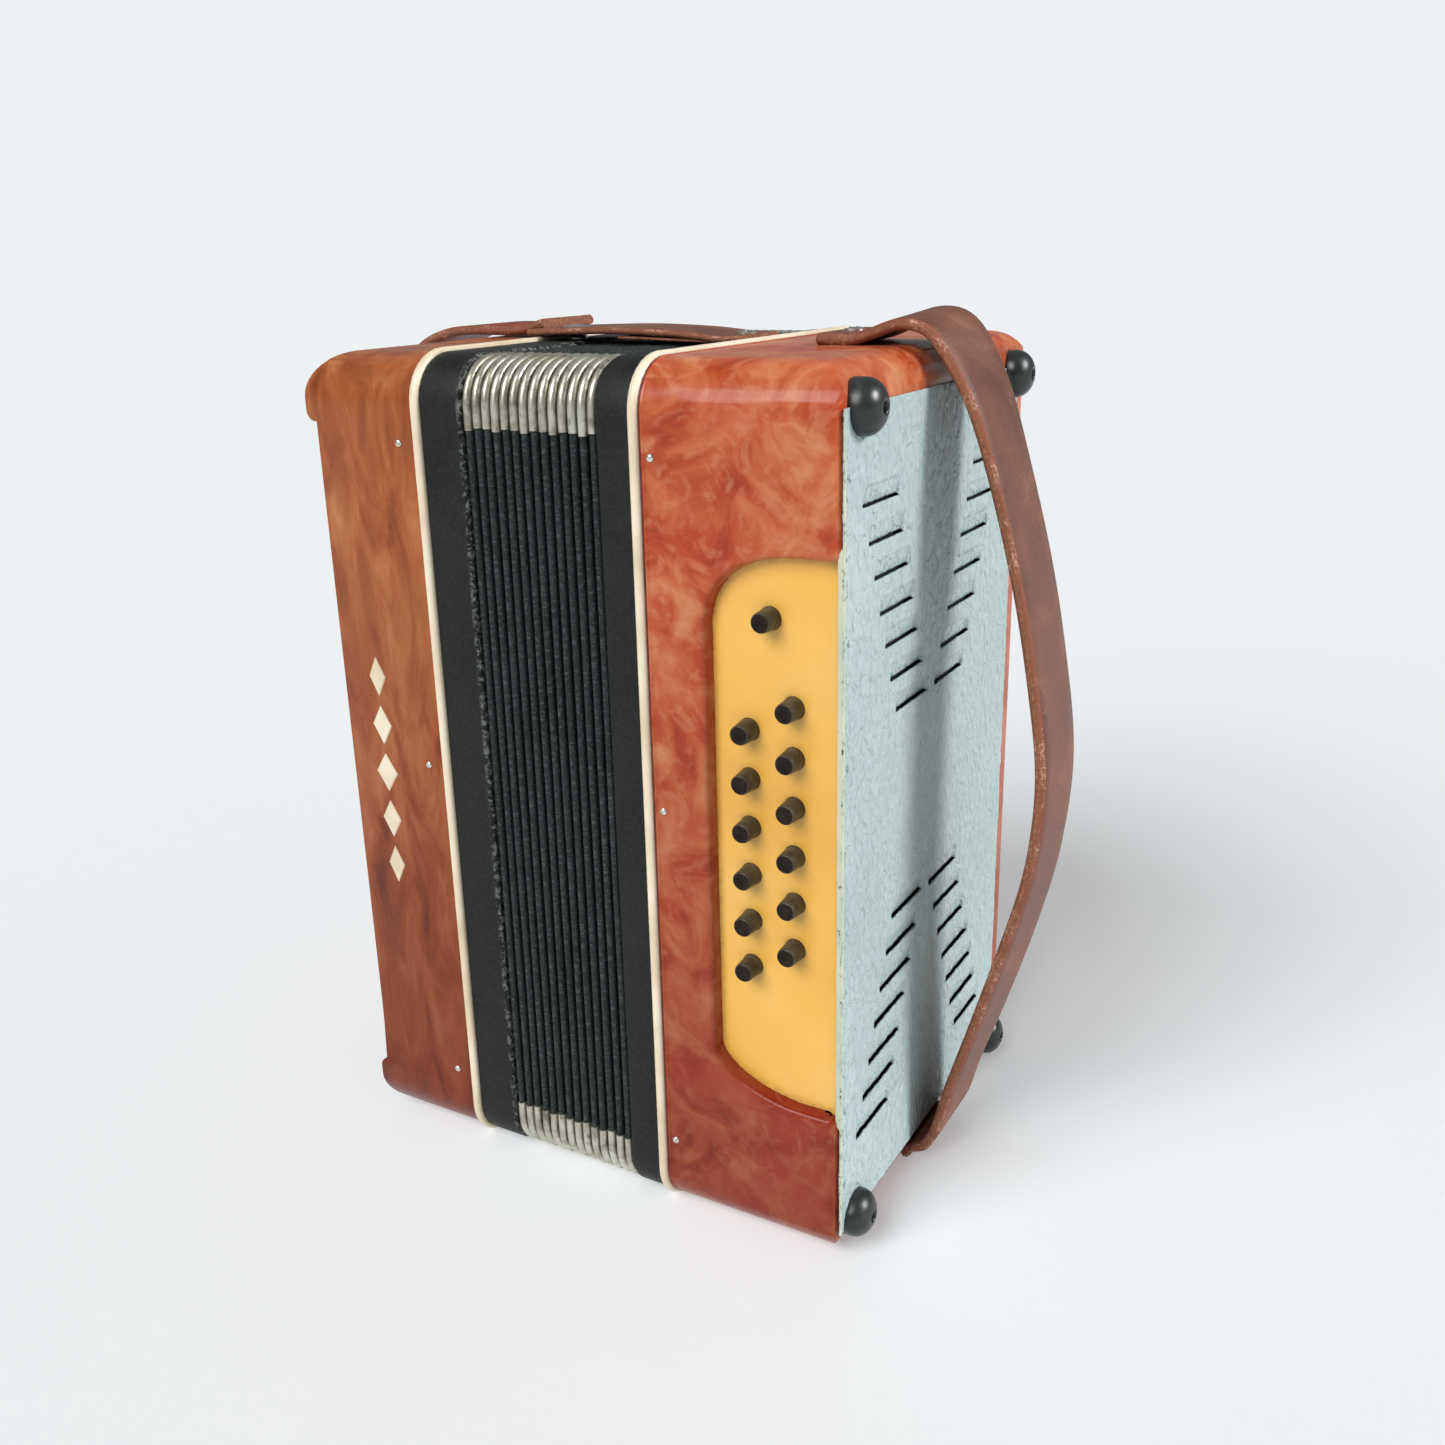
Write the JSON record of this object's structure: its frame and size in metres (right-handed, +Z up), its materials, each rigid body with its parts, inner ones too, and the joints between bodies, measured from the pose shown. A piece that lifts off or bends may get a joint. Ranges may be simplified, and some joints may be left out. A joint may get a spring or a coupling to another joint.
{
  "type": "button accordion",
  "caption": "Small square-ended button accordion with marbled casings, cloth bellows with metal corners, a louvred end grille, rubber feet and leather straps.",
  "frame": {"origin": "middle of the treble casing's underside, which stands on the surface", "axes": "+Z up along the long side, +X towards the grille end of the treble casing, -Y towards the front face that carries the buttons"},
  "size_m": [0.2522, 0.148, 0.2685],
  "materials": {
    "pearl_red": "glossy marbled celluloid",
    "pearl_brown": "glossy streaked celluloid",
    "yellow_plate": "satin",
    "grille_paint": "hammered paint",
    "nail_metal": "bright",
    "cream_binding": "glossy",
    "black_frame": "matte black cloth over wood",
    "bellows_cloth": "dark cloth",
    "corner_metal": "tarnished",
    "inner_wood": "bare",
    "reed_brass": "bare",
    "lever_metal": "bare",
    "foot_rubber": "semi-gloss",
    "strap_leather": "worn",
    "button_plastic": "glossy"
  },
  "bodies": {
    "treble_side": {"treble_casing": "pearl_red", "keyboard_plate": "yellow_plate", "end_grille": "grille_paint", "treble_nails": "nail_metal", "treble_binding": "cream_binding", "treble_bellows_frame": "black_frame", "bellows_folds": "bellows_cloth", "bellows_corners": "corner_metal", "treble_valve_board": "inner_wood", "treble_reed_blocks": "inner_wood", "treble_reed_plates": "reed_brass", "treble_lever_axle": "lever_metal", "rubber_feet": "foot_rubber", "shoulder_strap": "strap_leather", "closing_strap_tab": "strap_leather", "treble_screws": "nail_metal"},
    "bass_side": {"bass_casing": "pearl_brown", "bass_binding": "cream_binding", "bass_bellows_frame": "black_frame", "bass_valve_board": "inner_wood", "bass_reed_block": "inner_wood", "bass_reed_plates": "reed_brass", "bass_lever_axle": "lever_metal", "bass_hand_strap": "strap_leather", "bass_fittings": "nail_metal"},
    "closing_strap": {"closing_strap": "strap_leather", "snap_cap": "nail_metal"},
    "treble_lever_01": {"treble_lever_01": "lever_metal"},
    "treble_button_01": {"treble_button_01": "button_plastic"},
    "treble_lever_02": {"treble_lever_02": "lever_metal"},
    "treble_button_02": {"treble_button_02": "button_plastic"},
    "treble_lever_03": {"treble_lever_03": "lever_metal"},
    "treble_button_03": {"treble_button_03": "button_plastic"},
    "treble_lever_04": {"treble_lever_04": "lever_metal"},
    "treble_button_04": {"treble_button_04": "button_plastic"},
    "treble_lever_05": {"treble_lever_05": "lever_metal"},
    "treble_button_05": {"treble_button_05": "button_plastic"},
    "treble_lever_06": {"treble_lever_06": "lever_metal"},
    "treble_button_06": {"treble_button_06": "button_plastic"},
    "treble_lever_07": {"treble_lever_07": "lever_metal"},
    "treble_button_07": {"treble_button_07": "button_plastic"},
    "treble_lever_08": {"treble_lever_08": "lever_metal"},
    "treble_button_08": {"treble_button_08": "button_plastic"},
    "treble_lever_09": {"treble_lever_09": "lever_metal"},
    "treble_button_09": {"treble_button_09": "button_plastic"},
    "treble_lever_10": {"treble_lever_10": "lever_metal"},
    "treble_button_10": {"treble_button_10": "button_plastic"},
    "treble_lever_11": {"treble_lever_11": "lever_metal"},
    "treble_button_11": {"treble_button_11": "button_plastic"},
    "treble_lever_12": {"treble_lever_12": "lever_metal"},
    "treble_button_12": {"treble_button_12": "button_plastic"},
    "treble_lever_13": {"treble_lever_13": "lever_metal"},
    "treble_button_13": {"treble_button_13": "button_plastic"},
    "bass_lever_1": {"bass_lever_1": "lever_metal"},
    "bass_button_1": {"bass_button_1": "button_plastic"},
    "bass_lever_2": {"bass_lever_2": "lever_metal"},
    "bass_button_2": {"bass_button_2": "button_plastic"},
    "bass_lever_3": {"bass_lever_3": "lever_metal"},
    "bass_button_3": {"bass_button_3": "button_plastic"}
  },
  "joints": [
    {"name": "bellows_slide", "type": "slide", "parent": "treble_side", "child": "bass_side", "axis": [-1, 0, 0], "range_m": [0, 0.18], "deforming": ["bellows_folds", "bellows_corners"]},
    {"name": "closing_strap_hinge", "type": "hinge", "parent": "treble_side", "child": "closing_strap", "pos_m": [-0.04105, 0.0005, 0.26105], "axis": [0, 1, 0], "range_deg": [0, 90]},
    {"name": "treble_lever_01_turn", "type": "hinge", "parent": "treble_side", "child": "treble_lever_01", "pos_m": [0.02225, -0.0485, 0.1944], "axis": [0, 0, 1], "range_deg": [-9.55, 0]},
    {"name": "treble_button_01_press", "type": "slide", "parent": "treble_side", "child": "treble_button_01", "axis": [0, 1, 0], "range_m": [0, 0.0025], "stiffness_N_per_m": 150, "springref_m": -0.003},
    {"name": "treble_lever_02_turn", "type": "hinge", "parent": "treble_side", "child": "treble_lever_02", "pos_m": [0.02225, -0.0485, 0.1706], "axis": [0, 0, 1], "range_deg": [-17.26, 0]},
    {"name": "treble_button_02_press", "type": "slide", "parent": "treble_side", "child": "treble_button_02", "axis": [0, 1, 0], "range_m": [0, 0.0025], "stiffness_N_per_m": 150, "springref_m": -0.003},
    {"name": "treble_lever_03_turn", "type": "hinge", "parent": "treble_side", "child": "treble_lever_03", "pos_m": [0.02225, -0.0485, 0.1563], "axis": [0, 0, 1], "range_deg": [-17.26, 0]},
    {"name": "treble_button_03_press", "type": "slide", "parent": "treble_side", "child": "treble_button_03", "axis": [0, 1, 0], "range_m": [0, 0.0025], "stiffness_N_per_m": 150, "springref_m": -0.003},
    {"name": "treble_lever_04_turn", "type": "hinge", "parent": "treble_side", "child": "treble_lever_04", "pos_m": [0.02225, -0.0485, 0.142], "axis": [0, 0, 1], "range_deg": [-17.26, 0]},
    {"name": "treble_button_04_press", "type": "slide", "parent": "treble_side", "child": "treble_button_04", "axis": [0, 1, 0], "range_m": [0, 0.0025], "stiffness_N_per_m": 150, "springref_m": -0.003},
    {"name": "treble_lever_05_turn", "type": "hinge", "parent": "treble_side", "child": "treble_lever_05", "pos_m": [0.02225, -0.0485, 0.1277], "axis": [0, 0, 1], "range_deg": [-17.26, 0]},
    {"name": "treble_button_05_press", "type": "slide", "parent": "treble_side", "child": "treble_button_05", "axis": [0, 1, 0], "range_m": [0, 0.0025], "stiffness_N_per_m": 150, "springref_m": -0.003},
    {"name": "treble_lever_06_turn", "type": "hinge", "parent": "treble_side", "child": "treble_lever_06", "pos_m": [0.02225, -0.0485, 0.1134], "axis": [0, 0, 1], "range_deg": [-17.26, 0]},
    {"name": "treble_button_06_press", "type": "slide", "parent": "treble_side", "child": "treble_button_06", "axis": [0, 1, 0], "range_m": [0, 0.0025], "stiffness_N_per_m": 150, "springref_m": -0.003},
    {"name": "treble_lever_07_turn", "type": "hinge", "parent": "treble_side", "child": "treble_lever_07", "pos_m": [0.02225, -0.0485, 0.0991], "axis": [0, 0, 1], "range_deg": [-17.26, 0]},
    {"name": "treble_button_07_press", "type": "slide", "parent": "treble_side", "child": "treble_button_07", "axis": [0, 1, 0], "range_m": [0, 0.0025], "stiffness_N_per_m": 150, "springref_m": -0.003},
    {"name": "treble_lever_08_turn", "type": "hinge", "parent": "treble_side", "child": "treble_lever_08", "pos_m": [0.02225, -0.0485, 0.1626], "axis": [0, 0, 1], "range_deg": [-6.54, 0]},
    {"name": "treble_button_08_press", "type": "slide", "parent": "treble_side", "child": "treble_button_08", "axis": [0, 1, 0], "range_m": [0, 0.0025], "stiffness_N_per_m": 150, "springref_m": -0.003},
    {"name": "treble_lever_09_turn", "type": "hinge", "parent": "treble_side", "child": "treble_lever_09", "pos_m": [0.02225, -0.0485, 0.1483], "axis": [0, 0, 1], "range_deg": [-6.54, 0]},
    {"name": "treble_button_09_press", "type": "slide", "parent": "treble_side", "child": "treble_button_09", "axis": [0, 1, 0], "range_m": [0, 0.0025], "stiffness_N_per_m": 150, "springref_m": -0.003},
    {"name": "treble_lever_10_turn", "type": "hinge", "parent": "treble_side", "child": "treble_lever_10", "pos_m": [0.02225, -0.0485, 0.134], "axis": [0, 0, 1], "range_deg": [-6.54, 0]},
    {"name": "treble_button_10_press", "type": "slide", "parent": "treble_side", "child": "treble_button_10", "axis": [0, 1, 0], "range_m": [0, 0.0025], "stiffness_N_per_m": 150, "springref_m": -0.003},
    {"name": "treble_lever_11_turn", "type": "hinge", "parent": "treble_side", "child": "treble_lever_11", "pos_m": [0.02225, -0.0485, 0.1197], "axis": [0, 0, 1], "range_deg": [-6.54, 0]},
    {"name": "treble_button_11_press", "type": "slide", "parent": "treble_side", "child": "treble_button_11", "axis": [0, 1, 0], "range_m": [0, 0.0025], "stiffness_N_per_m": 150, "springref_m": -0.003},
    {"name": "treble_lever_12_turn", "type": "hinge", "parent": "treble_side", "child": "treble_lever_12", "pos_m": [0.02225, -0.0485, 0.1054], "axis": [0, 0, 1], "range_deg": [-6.54, 0]},
    {"name": "treble_button_12_press", "type": "slide", "parent": "treble_side", "child": "treble_button_12", "axis": [0, 1, 0], "range_m": [0, 0.0025], "stiffness_N_per_m": 150, "springref_m": -0.003},
    {"name": "treble_lever_13_turn", "type": "hinge", "parent": "treble_side", "child": "treble_lever_13", "pos_m": [0.02225, -0.0485, 0.0911], "axis": [0, 0, 1], "range_deg": [-6.54, 0]},
    {"name": "treble_button_13_press", "type": "slide", "parent": "treble_side", "child": "treble_button_13", "axis": [0, 1, 0], "range_m": [0, 0.0025], "stiffness_N_per_m": 150, "springref_m": -0.003},
    {"name": "bass_lever_1_turn", "type": "hinge", "parent": "bass_side", "child": "bass_lever_1", "pos_m": [-0.12825, -0.0385, 0.15], "axis": [0, 0, 1], "range_deg": [0, 11.94]},
    {"name": "bass_button_1_press", "type": "slide", "parent": "bass_side", "child": "bass_button_1", "axis": [1, 0, 0], "range_m": [0, 0.0025], "stiffness_N_per_m": 150, "springref_m": -0.003},
    {"name": "bass_lever_2_turn", "type": "hinge", "parent": "bass_side", "child": "bass_lever_2", "pos_m": [-0.12825, -0.0385, 0.132], "axis": [0, 0, 1], "range_deg": [0, 11.94]},
    {"name": "bass_button_2_press", "type": "slide", "parent": "bass_side", "child": "bass_button_2", "axis": [1, 0, 0], "range_m": [0, 0.0025], "stiffness_N_per_m": 150, "springref_m": -0.003},
    {"name": "bass_lever_3_turn", "type": "hinge", "parent": "bass_side", "child": "bass_lever_3", "pos_m": [-0.12825, -0.0385, 0.114], "axis": [0, 0, 1], "range_deg": [0, 11.94]},
    {"name": "bass_button_3_press", "type": "slide", "parent": "bass_side", "child": "bass_button_3", "axis": [1, 0, 0], "range_m": [0, 0.0025], "stiffness_N_per_m": 150, "springref_m": -0.003}
  ],
  "couplings": [
    {"joint": "treble_lever_01_turn", "follows": "treble_button_01_press", "rad_per_m": -66.667},
    {"joint": "treble_lever_02_turn", "follows": "treble_button_02_press", "rad_per_m": -120.48},
    {"joint": "treble_lever_03_turn", "follows": "treble_button_03_press", "rad_per_m": -120.48},
    {"joint": "treble_lever_04_turn", "follows": "treble_button_04_press", "rad_per_m": -120.48},
    {"joint": "treble_lever_05_turn", "follows": "treble_button_05_press", "rad_per_m": -120.48},
    {"joint": "treble_lever_06_turn", "follows": "treble_button_06_press", "rad_per_m": -120.48},
    {"joint": "treble_lever_07_turn", "follows": "treble_button_07_press", "rad_per_m": -120.48},
    {"joint": "treble_lever_08_turn", "follows": "treble_button_08_press", "rad_per_m": -45.662},
    {"joint": "treble_lever_09_turn", "follows": "treble_button_09_press", "rad_per_m": -45.662},
    {"joint": "treble_lever_10_turn", "follows": "treble_button_10_press", "rad_per_m": -45.662},
    {"joint": "treble_lever_11_turn", "follows": "treble_button_11_press", "rad_per_m": -45.662},
    {"joint": "treble_lever_12_turn", "follows": "treble_button_12_press", "rad_per_m": -45.662},
    {"joint": "treble_lever_13_turn", "follows": "treble_button_13_press", "rad_per_m": -45.662},
    {"joint": "bass_lever_1_turn", "follows": "bass_button_1_press", "rad_per_m": 83.333},
    {"joint": "bass_lever_2_turn", "follows": "bass_button_2_press", "rad_per_m": 83.333},
    {"joint": "bass_lever_3_turn", "follows": "bass_button_3_press", "rad_per_m": 83.333}
  ]
}
